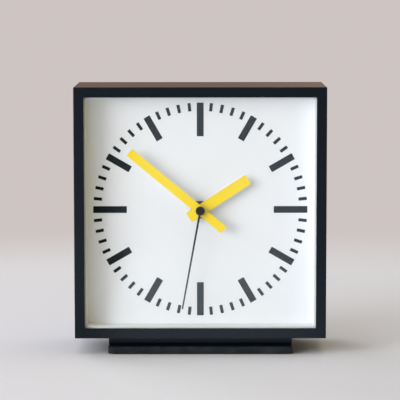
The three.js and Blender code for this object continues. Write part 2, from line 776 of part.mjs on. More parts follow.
// Rear shell: wall, sides, the battery bay's roof, bearings, posts and the knob's collar
const rearBearing = (bore) => bearing(bore, backInside - bearingLength, backInside + overlap);
const rearPost = (front) => rod(postRadius, front + film, backInside + overlap);
const circuitPostX = circuitWidth / 2 - circuitPostInset;
const statorPostX = statorLeft + postRadius + pillarMargin;
const statorPostY = coreReach - postRadius - pillarMargin;
const bayWindowHalf = batteryLength / 2 + batteryPlay;
const shellJoint = rimBack + film;
const spindleBore = settingSpindleRadius + 2 * fit;
const spindleHole = rod(spindleBore, backInside - knobCollarLength - past, movementBack + past);
const rearShell = cut(
  joined(
    cut(
      plate(shellOutline, shellJoint, movementBack, 4),
      plate(shellInside, shellJoint - past, backInside, 4),
    ),
    block(-bayHalf, bayHalf, bayTop, bayTop + bayWall, inside + film, backInside + overlap),
    rearBearing(pinRadius + fit),
    at(rearBearing(pinRadius + fit), thirdPlace),
    at(rearBearing(pinRadius + fit), intermediatePlace),
    at(rearBearing(pinRadius + fit), rotorPlace),
    at(rearPost(circuitBack), [circuitX - circuitPostX, circuitY]),
    at(rearPost(circuitBack), [circuitX + circuitPostX, circuitY]),
    at(rearPost(statorBack), [statorPostX, statorPostY]),
    at(rearPost(statorBack), [statorPostX, -statorPostY]),
    at(rod(knobCollarRadius, backInside - knobCollarLength, backInside + overlap), settingPlace),
  ),
  block(-bayWindowHalf, bayWindowHalf, bayFloor, bayTop, backInside - past, movementBack + past),
  at(spindleHole, settingPlace),
);
addPart(axisFrame, "movement_rear_shell", rearShell, blackPlastic);

// Battery and its two sprung contacts
const can = batteryLength - nubLength;
const batteryOutline = [
  [0, -batteryLength / 2],
  [batteryRadius - batteryEdge, -batteryLength / 2],
  [batteryRadius, batteryEdge - batteryLength / 2],
  [batteryRadius, can - batteryLength / 2 - batteryEdge],
  [batteryRadius - batteryEdge, can - batteryLength / 2],
  [nubRadius, can - batteryLength / 2],
  [nubRadius, batteryLength / 2],
  [0, batteryLength / 2],
];
const batterySolid = geometryFrom(turned(batteryOutline)).rotateY(-Math.PI / 2);
const battery = addPart(axisFrame, "battery", solidFrom(batterySolid), batteryJacket);
battery.position.set(0, batteryY, -batteryCentreDepth);

function batteryContact(side) {
  const wall = bayHalf - film;
  const crest = batteryLength / 2 + contactToBattery + contactThickness;
  const outer = [
    [wall, -contactFoot],
    [wall, -contactBend],
    [crest, 0],
    [wall, contactBend],
    [wall, contactFoot],
  ];
  const inner = outer.map(([x, depth]) => [x - contactThickness, depth]).reverse();
  const outline = [...outer, ...inner].map(([x, depth]) => [side * x, -batteryCentreDepth - depth]);
  if (side < 0) outline.reverse();
  const geometry = new THREE.ExtrudeGeometry(polygon(outline), { depth: contactWidth, bevelEnabled: false });
  geometry.rotateX(Math.PI / 2);
  return solidFrom(geometry.translate(0, batteryY + contactWidth / 2, 0));
}

addPart(axisFrame, "battery_contact_plus", batteryContact(1), steel);
addPart(axisFrame, "battery_contact_minus", batteryContact(-1), steel);

// Bush, washers and nut that clamp the movement to the dial
const washerBack = dialDepth - film;
const washerFront = washerBack - washerThickness;
const nutBack = washerFront - film;
const nutFront = nutBack - nutThickness;
const bushFront = nutFront - bushPastNut;
const flangeFront = inside + film;
const flangeBack = flangeFront + bushFlangeThickness;
const bush = turned([
  [bushBore, bushFront],
  [bushRadius, bushFront],
  [bushRadius, flangeFront],
  [bushFlangeRadius, flangeFront],
  [bushFlangeRadius, flangeBack],
  [bushBore, flangeBack],
]);
addPart(axisFrame, "threaded_bush", bush, brass);
const clampBore = bushRadius + fit;
addPart(axisFrame, "fixing_washer", tube(washerRadius, clampBore, washerFront, washerBack), darkSteel);
const rubberWasher = tube(rubberWasherRadius, clampBore, dialBoardBack + film, movementFront - film);
addPart(axisFrame, "rubber_washer", rubberWasher, rubber);

function hexNut() {
  const corner = nutAcrossFlats / Math.sqrt(3);
  const hexagon = polygon(Array.from({ length: 6 }, (_, i) => polar(corner, (i * Math.PI) / 3)));
  const chamfer = corner - nutAcrossFlats / 2;
  const crown = turned([
    [0, nutFront],
    [corner - chamfer, nutFront],
    [corner + film, nutFront + chamfer],
    [corner + film, nutBack],
    [0, nutBack],
  ]);
  const bore = rod(clampBore, nutFront - past, nutBack + past, medium);
  return cut(plate(hexagon, nutFront, nutBack).intersect(crown), bore);
}
addPart(axisFrame, "fixing_nut", hexNut(), darkSteel);

// Depths of the hands, from the glass towards the dial
const capFront = glassBack + capToGlass;
const capBack = capFront + capHeight;
const minuteHandFront = capBack - needleThickness + handSpacing;
const minuteHandBack = minuteHandFront + handThickness;
const hourHandFront = minuteHandBack + handSpacing;
const hourHandBack = hourHandFront + handThickness;
const minuteArborFront = minuteHandFront - minuteArborShows;
const hourTubeFront = hourHandFront - hourTubeShows;

// Going train: rotor, intermediate wheel, second wheel, third wheel, centre wheel
function addGear(name, solid, point, turn, material = gearPlastic) {
  const mesh = addPart(axisFrame, name, solid, material);
  mesh.position.set(point[0], point[1], 0);
  mesh.rotation.z = turn;
  return mesh;
}

const pivotPin = rod(pinRadius, pinFront, pinBack);
const secondWheel = joined(
  rod(pinRadius, capFront + capWall + fit, pinBack),
  gear(secondTeeth.pinion, secondPinionModule, thirdLayer),
  gear(secondTeeth.wheel, secondWheelModule, secondLayer),
  rod(secondPinionModule * hubs.second, thirdLayer, secondLayer + gearThickness),
);
addGear("second_wheel", secondWheel, [0, 0], 0);

const intermediateTurn = meshedTurn(secondTeeth.wheel, 0, intermediateTeeth.pinion, motorDirection);
const intermediateWheel = joined(
  pivotPin,
  gear(intermediateTeeth.pinion, secondWheelModule, secondLayer),
  gear(intermediateTeeth.wheel, rotorModule, motorLayer),
  rod(secondWheelModule * hubs.intermediate, secondLayer, motorLayer + gearThickness),
);
addGear("intermediate_wheel", intermediateWheel, intermediatePlace, intermediateTurn);

const rotorTurn = meshedTurn(intermediateTeeth.wheel, intermediateTurn, rotorTeeth, motorDirection);
const magnetFront = statorFront + (statorThickness - magnetThickness) / 2;
const rotor = joined(
  pivotPin,
  gear(rotorTeeth, rotorModule, motorLayer),
  rod(rotorModule * hubs.rotor, motorLayer, statorFront),
  rod(magnetRadius, magnetFront, magnetFront + magnetThickness, medium),
);
addGear("motor_rotor", rotor, rotorPlace, rotorTurn, darkSteel);

const thirdTurn = meshedTurn(secondTeeth.pinion, 0, thirdTeeth.wheel, thirdDirection);
const thirdWheel = joined(
  rod(pinRadius, inside + 2 * film, pinBack),
  gear(thirdTeeth.pinion, centreWheelModule, centreLayer),
  gear(thirdTeeth.wheel, secondPinionModule, thirdLayer),
);
addGear("third_wheel", thirdWheel, thirdPlace, thirdTurn);

const centreTurn = meshedTurn(thirdTeeth.pinion, thirdTurn, centreTeeth, thirdDirection + 180);
const centreWheel = cut(
  gear(centreTeeth, centreWheelModule, centreLayer),
  rod(minuteArborRadius + fit, centreLayer - past, centreLayer + gearThickness + past, medium),
);
addGear("centre_wheel", centreWheel, [0, 0], centreTurn);

// Motion work: minute arbor, minute wheel, hour wheel and the setting knob
const minuteArborBack = middlePlateFront - fit;
const minuteArbor = cut(
  joined(
    rod(minuteArborRadius, minuteArborFront, minuteArborBack, medium),
    gear(minuteArborTeeth, minuteArborModule, minuteLayer),
  ),
  rod(minuteArborBore, minuteArborFront - past, minuteArborBack + past),
);
addGear("minute_arbor", minuteArbor, [0, 0], 0, brass);

const minuteWheelTurn = meshedTurn(minuteArborTeeth, 0, minuteTeeth.wheel, settingDirection);
const postHole = pinRadius + 2 * fit;
const minuteWheel = cut(
  joined(
    gear(minuteTeeth.pinion, hourModule, hourLayer),
    rod(hourModule * hubs.minute, hourLayer, minuteLayer + overlap),
    gear(minuteTeeth.wheel, minuteArborModule, minuteLayer),
  ),
  rod(postHole, hourLayer - past, minuteLayer + gearThickness + past),
);
addGear("minute_wheel", minuteWheel, minuteWheelPlace, minuteWheelTurn);

const hourTurn = meshedTurn(minuteTeeth.pinion, minuteWheelTurn, hourTeeth, settingDirection + 180);
const hourWheel = cut(
  joined(
    rod(hourTubeRadius, hourTubeFront, hourLayer + gearThickness, medium),
    gear(hourTeeth, hourModule, hourLayer),
  ),
  rod(hourTubeBore, hourTubeFront - past, hourLayer + gearThickness + past, medium),
);
addGear("hour_wheel", hourWheel, [0, 0], hourTurn);

const settingTurn = meshedTurn(minuteTeeth.wheel, minuteWheelTurn, settingTeeth, settingDirection);
const knobFront = movementBack + slip;
const knobOutline = polygon(
  Array.from({ length: 2 * knobRibs }, (_, i) =>
    polar(i % 2 ? knobRadius - knobRibDepth : knobRadius, (i * Math.PI) / knobRibs),
  ),
);
const settingKnob = joined(
  rod(settingPinRadius, inside + 2 * film, minuteLayer + overlap),
  gear(settingTeeth, minuteArborModule, minuteLayer),
  rod(settingSpindleRadius, minuteLayer + gearThickness - overlap, knobFront + overlap),
  plate(knobOutline, knobFront, knobFront + knobThickness),
);
addGear("setting_knob", settingKnob, settingPlace, settingTurn, blackPlastic);

// Hands, drawn upright and turned clockwise to the time they show
function setHand(mesh, angle) {
  mesh.rotation.z = -THREE.MathUtils.degToRad(angle);
}

function barHand({ width, reach, tail }, front, bore) {
  const bar = polygon([
    [-width / 2, -tail],
    [width / 2, -tail],
    [width / 2, reach],
    [-width / 2, reach],
  ]);
  const back = front + handThickness;
  const collar = rod(bore + collarWall, back - handThickness / 2, back + collarLength, medium);
  const hole = rod(bore, front - past, back + collarLength + past, medium);
  return cut(joined(plate(bar, front, back), collar), hole);
}

const hourHandSolid = barHand(hourHand, hourHandFront, hourTubeRadius + fit);
setHand(addPart(axisFrame, "hour_hand", hourHandSolid, yellowPaint), hourHandAngle);
const minuteHandSolid = barHand(minuteHand, minuteHandFront, minuteArborRadius + fit);
setHand(addPart(axisFrame, "minute_hand", minuteHandSolid, yellowPaint), minuteHandAngle);

const needle = polygon([
  [-secondHand.rootWidth / 2, 0],
  [secondHand.rootWidth / 2, 0],
  [secondHand.tipWidth / 2, secondHand.reach],
  [-secondHand.tipWidth / 2, secondHand.reach],
]);
const cap = turned([
  [0, capFront],
  [capRadius - capEdge, capFront],
  [capRadius, capFront + capEdge],
  [capRadius, capBack],
  [0, capBack],
], fine);
const secondCollar = rod(pinRadius + fit + collarWall, capBack - overlap, capBack + secondCollarLength);
const secondHandSolid = cut(
  joined(plate(needle, capBack - needleThickness, capBack), cap, secondCollar),
  rod(pinRadius + fit, capFront + capWall, capBack + secondCollarLength + past),
);
setHand(addPart(axisFrame, "second_hand", secondHandSolid, blackPaint), secondHandAngle);

export default clock;
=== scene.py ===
# Square mantel clock: a lacquered case on a stepped base, a white dial behind glass, yellow hands
# and a quartz movement. Metres, +Z up, the dial faces -Y. Each piece takes its place from the frame.
import json
import math
from contextlib import contextmanager

import bmesh
import bpy
from mathutils import Matrix, Vector


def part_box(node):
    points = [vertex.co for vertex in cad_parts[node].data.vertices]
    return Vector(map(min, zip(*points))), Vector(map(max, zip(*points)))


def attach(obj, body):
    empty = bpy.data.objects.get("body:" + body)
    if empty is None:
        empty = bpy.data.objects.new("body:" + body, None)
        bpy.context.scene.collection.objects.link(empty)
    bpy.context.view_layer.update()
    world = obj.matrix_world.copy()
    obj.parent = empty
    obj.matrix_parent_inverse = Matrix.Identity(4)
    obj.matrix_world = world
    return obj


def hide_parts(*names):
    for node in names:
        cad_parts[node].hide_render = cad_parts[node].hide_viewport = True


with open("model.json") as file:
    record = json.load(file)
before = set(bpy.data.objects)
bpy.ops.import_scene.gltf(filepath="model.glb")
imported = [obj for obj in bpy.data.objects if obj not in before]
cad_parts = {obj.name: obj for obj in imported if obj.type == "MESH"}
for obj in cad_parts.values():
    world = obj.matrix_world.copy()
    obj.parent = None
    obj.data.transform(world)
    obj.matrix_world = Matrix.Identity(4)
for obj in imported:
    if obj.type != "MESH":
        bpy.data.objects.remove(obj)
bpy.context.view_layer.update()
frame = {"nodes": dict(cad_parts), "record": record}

MM = 0.001

# Case and base
frame_face = 7.5 * MM  # width of the frame's face round the opening
lip_depth = 1.8 * MM
board_thickness = 5 * MM
edge_radius = 0.6 * MM
opening_radius = 0.5 * MM
wear_width = 1.3 * MM  # how far from an edge its lacquer is rubbed
mitre_line = (0.03 * MM, 0.14 * MM)  # half the line's width, and where it has faded out
felt_corner = 2 * MM
window_size = 76 * MM
window_radius = 6 * MM
screw_clearance = 0.2 * MM
panel_screw = {"shank": 1.3 * MM, "head": 3 * MM, "rim": 0.3 * MM}
base_screw = {"shank": 1.75 * MM, "head": 3.6 * MM, "rim": 0.3 * MM}
corners = ("upper_left", "upper_right", "lower_left", "lower_right")

# Dial, drawn from the hands' axis: a baton's size is its width and its length
baton_rise = 0.15 * MM
baton_root = 0.05 * MM  # how deep a baton stands in the dial
baton_reach = 79.1 * MM
quarter_baton = (5 * MM, 24.8 * MM)
hour_baton = (5 * MM, 19.4 * MM)
minute_baton = (2.3 * MM, 6.1 * MM)
minute_angle = 6
bush_hole = 4.1 * MM
nut_flank = 5.2 * MM  # the nut's outside lies past this
nut_spread = 1.04  # how much wider than its solid the nut is shown

# Hands: reach is from the axis to the tip, tail is behind the axis, angles are clockwise from twelve
hand_thickness = 0.5 * MM
hour_hand = {"width": 8.1 * MM, "reach": 42 * MM, "tail": 10 * MM, "bore": 2.7 * MM, "angle": 57}
minute_hand = {"width": 6.4 * MM, "reach": 67.6 * MM, "tail": 22.5 * MM, "bore": 1.85 * MM, "angle": 309.6}
needle = {"root": 1.5 * MM, "tip": 1.05 * MM, "reach": 74 * MM, "thickness": 0.3 * MM, "angle": 190.3}
cap_radius = 3.35 * MM
cap_height = 1.4 * MM
collar_wall = 0.9 * MM
pivot_bore = 0.55 * MM  # in the second hand's collar
collar_floor = 0.2 * MM  # and what the bore leaves of that collar behind the cap

# Battery: a size AA cell. A printed band starts and stops so far from the plus end
nub_radius = 2.75 * MM
nub_height = 1.3 * MM
button_radius = 4.6 * MM
button_height = 0.3 * MM
crimp_width = 0.9 * MM
crimp_depth = 0.25 * MM
film_overlap = 0.4 * crimp_width  # how far the film laps over an end
jacket_bands = ((12.6 * MM, 0), (14.6 * MM, 14 * MM), (16.2 * MM, 15.9 * MM))
band_edge = 0.1 * MM

# The movement's back: a plus and a minus above the battery, a notch cut round a line behind the
# shell, and a ring round the knob
polarity = {"span": 4.4 * MM, "stroke": 1.1 * MM, "rise": 0.4 * MM, "above": 4.6 * MM, "inset": 3.6 * MM}
notch = {"radius": 8 * MM, "behind": 2 * MM}
ring = {"gap": 0.7 * MM, "wall": 1 * MM, "rise": 0.5 * MM}

# How far the edges of the finer pieces are rounded
rounding = {
    "lining": 0.12 * MM,
    "glass": 0.25 * MM,
    "dial": 0.08 * MM,
    "baton": 0.03 * MM,
    "hand": 0.1 * MM,
    "needle": 0.06 * MM,
    "cap": 0.5 * MM,
    "felt": 0.15 * MM,
    "rear_panel": 0.2 * MM,
    "battery": 0.18 * MM,
    "rear_shell": 0.15 * MM,
    "polarity": 0.1 * MM,
}

# Nodes that keep their CAD shape, with the rounding of their edges
kept_shapes = {
    "movement_front_shell": 0.15 * MM,
    "setting_knob": 0.08 * MM,
    "fixing_nut": 0.15 * MM,
    "fixing_washer": 0.08 * MM,
    "threaded_bush": 0.05 * MM,
    "dial_board": 0.15 * MM,
    "battery_contact_plus": 0.04 * MM,
    "battery_contact_minus": 0.04 * MM,
    "rubber_washer": 0.1 * MM,
}
for corner_name in corners:
    kept_shapes["corner_block_" + corner_name] = 0.2 * MM
    kept_shapes["rear_panel_screw_" + corner_name] = 0.05 * MM

# Working values
past = 1 * MM  # a drill starts and ends this far outside the piece
sunk = 0.1 * MM  # a raised piece starts this far inside what carries it
hair = 0.01 * MM  # places that differ by less are one, and cuts overlap by it
doubles = 0.002 * MM  # points nearer than this are merged
facing = 0.9  # a normal with more than this along an axis faces that way
parallel = 0.999  # and an edge with more than this runs along it
sharp_angle = 35  # degrees between two faces from which their edge is eased
smooth_angle = 32  # and up to which they are shaded as one
flat_angle = 1  # and up to which they become one face

bush_low, bush_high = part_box("threaded_bush")
axis = Vector((0, 0, (bush_low.z + bush_high.z) / 2))
left_low, left_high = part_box("case_left_board")
case_low = Vector((left_low.x, left_low.y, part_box("case_bottom_board")[0].z))
case_high = Vector((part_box("case_right_board")[1].x, left_high.y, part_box("case_top_board")[1].z))
case_centre = (case_low + case_high) / 2
case_half = (case_high - case_low) / 2
battery_low, battery_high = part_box("battery")


def display(red, green, blue):
    """A colour as a screen shows it (sRGB, 0 to 255), as the numbers that a shader takes."""
    levels = []
    for level in (red, green, blue):
        share = level / 255
        levels.append(share / 12.92 if share <= 0.04045 else ((share + 0.055) / 1.055) ** 2.4)
    return (*levels, 1.0)


# Shader maths
class Link:
    """One output of a node. A sum on it adds its Math node."""

    def __init__(self, surface, socket):
        self.surface = surface
        self.socket = socket

    def output(self, name):
        """Another output of the same node."""
        return Link(self.surface, self.socket.node.outputs[name])

    def maths(self, operation, *values):
        return self.surface.add("ShaderNodeMath", {"operation": operation}, dict(enumerate(values)))

    def __add__(self, other):
        return self.maths("ADD", self, other)

    def __radd__(self, other):
        return self.maths("ADD", other, self)

    def __sub__(self, other):
        return self.maths("SUBTRACT", self, other)

    def __rsub__(self, other):
        return self.maths("SUBTRACT", other, self)

    def __mul__(self, other):
        return self.maths("MULTIPLY", self, other)

    def __rmul__(self, other):
        return self.maths("MULTIPLY", other, self)

    def __truediv__(self, other):
        return self.maths("DIVIDE", self, other)

    def __rtruediv__(self, other):
        return self.maths("DIVIDE", other, self)

    def __pow__(self, other):
        return self.maths("POWER", self, other)

    def __rpow__(self, other):
        return self.maths("POWER", other, self)

    def __abs__(self):
        return self.maths("ABSOLUTE", self)


def largest(one, other):
    return one.maths("MAXIMUM", one, other)


def fraction(value):
    return value.maths("FRACT", value)


class Surface:
    """A finish in the making, or the room's light: its nodes all come from add()."""

    def __init__(self, name, owner=None):
        self.owner = owner or bpy.data.materials.new(name)
        self.owner.use_nodes = True
        self.tree = self.owner.node_tree
        self.tree.nodes.clear()

    def add(self, kind, settings=None, inputs=None, output=0):
        """Adds a node: its settings first, then the values or links of its sockets."""
        node = self.tree.nodes.new(kind)
        for name, value in (settings or {}).items():
            setattr(node, name, value)
        for name, value in (inputs or {}).items():
            if isinstance(value, Link):
                self.tree.links.new(value.socket, node.inputs[name])
            else:
                node.inputs[name].default_value = value
        return Link(self, node.outputs[output]) if len(node.outputs) else None

    def place(self):
        return self.add("ShaderNodeTexCoord", output="Object")

    def axes(self, centre=(0, 0, 0)):
        """The place on each axis, measured from a point of the object."""
        split = self.add("ShaderNodeSeparateXYZ", inputs={0: self.place()})
        return [split.output(name) - centre[i] for i, name in enumerate("XYZ")]

    def spread(self, scale):
        return self.add("ShaderNodeMapping", inputs={"Vector": self.place(), "Scale": scale})

    def noise(self, size, detail=2.0, stretch=(1, 1, 1), roughness=0.5):
        """Noise of about 0 to 1 with grains of this size, longer along an axis with a stretch over 1."""
        spread = self.spread([1 / (size * share) for share in stretch])
        inputs = {"Vector": spread, "Scale": 1.0, "Detail": detail, "Roughness": roughness}
        return self.add("ShaderNodeTexNoise", inputs=inputs)

    def cell_borders(self, size):
        """How far a point lies from the borders between cells of this size."""
        inputs = {"Vector": self.spread([1 / size] * 3), "Scale": 1.0}
        return self.add("ShaderNodeTexVoronoi", {"feature": "DISTANCE_TO_EDGE"}, inputs, "Distance")

    def fade(self, value, start, end):
        """0 up to start, 1 from end, and smooth between them."""
        limits = {"Value": value, "From Min": start, "From Max": end}
        return self.add("ShaderNodeMapRange", {"interpolation_type": "SMOOTHSTEP"}, limits)

    def between(self, value, low, high):
        """Turns 0 to 1 into low to high."""
        return value * (high - low) + low

    def mix(self, share, one, other):
        """Mixes two colours. A Mix node keeps them in its sockets 6 and 7, and their mix in output 2."""
        return self.add("ShaderNodeMix", {"data_type": "RGBA"}, {0: share, 6: one, 7: other}, 2)

    def blend(self, share, one, other):
        """Mixes two shaders."""
        return self.add("ShaderNodeMixShader", inputs={0: share, 1: one, 2: other})

    def bump(self, height, depth):
        return self.add("ShaderNodeBump", inputs={"Height": height, "Distance": depth})

    def coat(self, colour, roughness, normal, **constants):
        """The shader itself. Constants are named as its sockets are, with _ for a space."""
        inputs = {"Base Color": colour, "Roughness": roughness, "Normal": normal}
        for name, value in constants.items():
            inputs[name.replace("_", " ")] = value
        return self.show(self.add("ShaderNodeBsdfPrincipled", inputs=inputs))

    def show(self, shader, output="ShaderNodeOutputMaterial"):
        self.add(output, inputs={"Surface": shader})
        return self.owner


# Finishes: noise takes the size of its grains and its detail
def black_lacquer():
    """Satin lacquer on board: faint orange peel, a little dust, edges rubbed slightly paler, and the
    mitres as fine lines."""
    s = Surface("black_lacquer")
    x, y, z = s.axes(case_centre)
    near = [s.fade(abs(value), half - wear_width, half) for value, half in zip((x, y, z), case_half)]
    edge = s.fade(near[0] * near[1] + near[1] * near[2] + near[2] * near[0], 0.05, 0.8)
    rubbed = edge * s.fade(s.noise(9 * MM, 3), 0.4, 0.7)
    cloud = s.noise(60 * MM, 1)
    peel = s.noise(1.1 * MM, 2)
    dust = s.fade(s.noise(0.35 * MM, 1), 0.72, 0.8) * s.fade(s.noise(14 * MM, 2), 0.5, 0.75)
    tone = s.mix(cloud, display(8, 16, 23), display(10, 20, 28))
    tone = s.mix(rubbed * 0.5, tone, display(44, 50, 54))
    tone = s.mix(dust * 0.35, tone, display(96, 98, 98))
    mitre = 1 - s.fade(abs(abs(x) - abs(z)), *mitre_line)
    height = peel * 0.35 - mitre * 0.8
    roughness = s.between(cloud, 0.3, 0.32) + (peel - 0.5) * 0.04 + rubbed * 0.08 + dust * 0.2
    return s.coat(tone, roughness, s.bump(height, 0.02 * MM), Specular_IOR_Level=0.35)


def white_plastic():
    """The lining's matt strips."""
    s = Surface("white_plastic")
    grain = s.noise(0.6 * MM, 3)
    tone = s.mix(grain, display(231, 233, 233), display(238, 239, 238))
    return s.coat(tone, s.between(grain, 0.5, 0.62), s.bump(grain, 0.01 * MM))


def clear_glass():
    """Float glass: each face mirrors 4 % of what meets it head on, and more at a slant."""
    s = Surface("clear_glass")
    slant = s.add("ShaderNodeLayerWeight", inputs={"Blend": 0.5}, output="Facing")
    share = slant**5 * 0.96 + 0.04
    through = s.add("ShaderNodeBsdfTransparent", inputs={"Color": (0.985, 0.992, 0.99, 1)})
    mirror = s.add("ShaderNodeBsdfGlossy", inputs={"Color": (1, 1, 1, 1), "Roughness": 0.03})
    return s.show(s.blend(share, through, mirror))


def dial_white():
    """Matt white paint on thin metal, with a fine tooth."""
    s = Surface("dial_white")
    tooth = s.noise(0.25 * MM, 2)
    cloud = s.noise(22 * MM, 2)
    tone = s.mix(cloud, display(236, 238, 240), display(240, 241, 243))
    return s.coat(tone, s.between(tooth, 0.5, 0.62), s.bump(tooth, 0.006 * MM))


def dial_ink():
    """The batons' black, with little shine."""
    s = Surface("dial_ink")
    tooth = s.noise(0.2 * MM, 2)
    tone = s.mix(s.noise(3 * MM, 3), display(10, 15, 17), display(17, 22, 25))
    bump = s.bump(tooth, 0.006 * MM)
    return s.coat(tone, s.between(tooth, 0.42, 0.55), bump, Specular_IOR_Level=0.1)


def plain_wood():
    """Pine, grain along the depth of the case, with growth rings across it."""
    s = Surface("plain_wood")
    rings = s.noise(2.2 * MM, 3, (1, 14, 1), 0.6)
    fibre = s.noise(0.3 * MM, 3, (1, 18, 1))
    tone = s.mix(s.fade(rings, 0.35, 0.65), display(205, 172, 124), display(181, 142, 92))
    tone = s.mix(fibre * 0.4, tone, display(150, 112, 70))
    return s.coat(tone, s.between(fibre, 0.6, 0.8), s.bump(fibre, 0.03 * MM))


def fibreboard():
    """The board behind the dial: even, with short pressed fibres."""
    s = Surface("dial_board")
    fibre = s.noise(0.7 * MM, 4, (3, 1, 1))
    fleck = s.noise(0.4 * MM, 2, (1, 1, 4))
    tone = s.mix(fibre, display(158, 120, 80), display(186, 148, 104))
    tone = s.mix(s.fade(fleck, 0.62, 0.75) * 0.6, tone, display(112, 78, 48))
    return s.coat(tone, s.between(fibre, 0.7, 0.85), s.bump(fibre, 0.03 * MM))


def hardboard():
    """Dark hardboard: fibres both ways, pressed flat, with darker specks."""
    s = Surface("hardboard")
    fibre = s.noise(0.8 * MM, 4, (4, 1, 1.3), 0.6)
    cross = s.noise(0.6 * MM, 3, (1, 1, 5))
    speck = s.fade(s.noise(0.5 * MM, 2), 0.62, 0.75)
    tone = s.mix(s.fade(fibre, 0.3, 0.7), display(42, 36, 31), display(74, 63, 53))
    tone = s.mix(s.fade(cross, 0.55, 0.75) * 0.6, tone, display(98, 84, 70))
    tone = s.mix(speck * 0.4, tone, display(24, 21, 19))
    return s.coat(tone, s.between(cross, 0.55, 0.78), s.bump(fibre + cross * 0.6, 0.05 * MM))


def black_felt():
    """Short wool fibres both ways, in soft clumps."""
    s = Surface("black_felt")
    fibre = s.noise(0.22 * MM, 4, (3, 1, 1), 0.7)
    across = s.noise(0.25 * MM, 4, (1, 3, 1), 0.7)
    clump = s.noise(4 * MM, 3)
    tone = s.mix(largest(fibre, across), display(14, 14, 15), display(44, 44, 47))
    tone = s.mix(clump * 0.4, tone, display(30, 30, 32))
    bump = s.bump(fibre + across, 0.12 * MM)
    return s.coat(tone, 0.95, bump, Sheen_Weight=0.35, Sheen_Roughness=0.5)


def enamel(name, pale, deep, level, shine):
    """Satin paint on a stamped hand: its roughness stays near the level."""
    s = Surface(name)
    peel = s.noise(0.9 * MM, 2)
    cloud = s.noise(8 * MM, 2)
    tone = s.mix(cloud, display(*pale), display(*deep))
    roughness = s.between(peel, level - 0.04, level + 0.05)
    return s.coat(tone, roughness, s.bump(peel, 0.008 * MM), Specular_IOR_Level=shine)


def metal(name, pale, deep, low, high):
    """Bare metal: fine tool marks, rough from low to high, and a duller film in places."""
    s = Surface(name)
    marks = s.noise(0.5 * MM, 3)
    film = s.noise(3 * MM, 3)
    tone = s.mix(s.fade(film, 0.4, 0.7), display(*pale), display(*deep))
    roughness = s.between(marks, low, high) + film * 0.08
    return s.coat(tone, roughness, s.bump(marks, 0.006 * MM), Metallic=1.0)


def moulded(name, pale, deep, low, high, tooth=0.3 * MM, depth=0.012 * MM):
    """Moulded plastic with the fine tooth of its mould, rough from low to high."""
    s = Surface(name)
    grain = s.noise(tooth, 3)
    flow = s.noise(7 * MM, 2, (3, 1, 1))
    tone = s.mix(flow, display(*pale), display(*deep))
    return s.coat(tone, s.between(grain, low, high), s.bump(grain, depth))


def copper():
    """Enamelled wire, wound in fine turns, with painted shade darkening the grooves between them."""
    s = Surface("copper")
    *_, z = s.axes()
    groove = abs(fraction(z / (0.22 * MM)) - 0.5) * 2
    # painted shade: darker in the grooves between the turns
    tone = s.mix(groove, display(196, 112, 62), display(120, 58, 30))
    return s.coat(tone, 0.3, s.bump(1 - groove, 0.05 * MM), Metallic=0.85)


def circuit_green():
    """Green mask on a woven board, paler over its tracks."""
    s = Surface("circuit_green")
    track = 1 - s.fade(s.cell_borders(1.6 * MM), 0.1, 0.16)
    weave = s.noise(0.2 * MM, 2)
    tone = s.mix(track, display(38, 92, 58), display(78, 134, 84))
    return s.coat(tone, s.between(weave, 0.3, 0.42), s.bump(track, 0.02 * MM))


def battery_jacket():
    """Printed film: slate blue, with a pale band and two thin lines towards the plus end."""
    s = Surface("battery_jacket")
    x, *_ = s.axes()

    def printed(place):
        return s.fade(x, battery_high.x - place, battery_high.x - place + band_edge)

    band, line, thin = [printed(start) - printed(stop) for start, stop in jacket_bands]
    scuff = s.fade(s.noise(2.5 * MM, 4, (4, 1, 1)), 0.6, 0.8)
    tone = s.mix(band + line + thin, display(46, 64, 82), display(196, 200, 202))
    tone = s.mix(scuff * 0.25, tone, display(120, 126, 130))
    bump = s.bump(s.noise(5 * MM, 2), 0.02 * MM)
    return s.coat(tone, s.between(scuff, 0.28, 0.45), bump, Metallic=0.25)


finishes = {
    "black_lacquer": black_lacquer(),
    "white_plastic": white_plastic(),
    "clear_glass": clear_glass(),
    "dial_white": dial_white(),
    "plain_wood": plain_wood(),
    "hardboard": hardboard(),
    "black_felt": black_felt(),
    "yellow_paint": enamel("yellow_paint", (255, 225, 0), (253, 220, 0), 0.42, 0.35),
    "black_paint": enamel("black_paint", (8, 8, 10), (13, 13, 16), 0.4, 0.08),
    "brass": metal("brass", (214, 178, 98), (176, 136, 66), 0.22, 0.36),
    "steel": metal("steel", (198, 200, 200), (160, 162, 162), 0.24, 0.38),
    "dark_steel": metal("dark_steel", (92, 84, 76), (58, 52, 48), 0.3, 0.45),
    "black_plastic": moulded("black_plastic", (24, 24, 26), (32, 32, 34), 0.42, 0.56),
    "gear_plastic": moulded("gear_plastic", (238, 234, 222), (226, 220, 204), 0.35, 0.5),
    "copper": copper(),
    "circuit_green": circuit_green(),
    "rubber": moulded("rubber", (22, 22, 22), (34, 34, 33), 0.75, 0.9, 0.5 * MM, 0.02 * MM),
    "battery_jacket": battery_jacket(),
}

# Finishes without a slot of their own: the batons', the hands' backs' and the dial board's
ink = dial_ink()
primer = enamel("white_primer", (240, 241, 242), (234, 235, 236), 0.62, 0.3)
dial_board_finish = fibreboard()


# Modelling by hand
def alone(piece):
    """Selects this object only."""
    bpy.ops.object.select_all(action="DESELECT")
    piece.select_set(True)
    bpy.context.view_layer.objects.active = piece


def settled(name):
    """Names the new primitive and moves its place into its mesh."""
    piece = bpy.context.object
    alone(piece)
    piece.name = name
    piece.data.name = name
    bpy.ops.object.transform_apply(location=True, rotation=True, scale=True)
    return piece


def block(name, low, high):
    low, high = Vector(low), Vector(high)
    bpy.ops.object.select_all(action="DESELECT")
    bpy.ops.mesh.primitive_cube_add(size=1, location=(low + high) / 2)
    bpy.context.object.scale = high - low
    return settled(name)


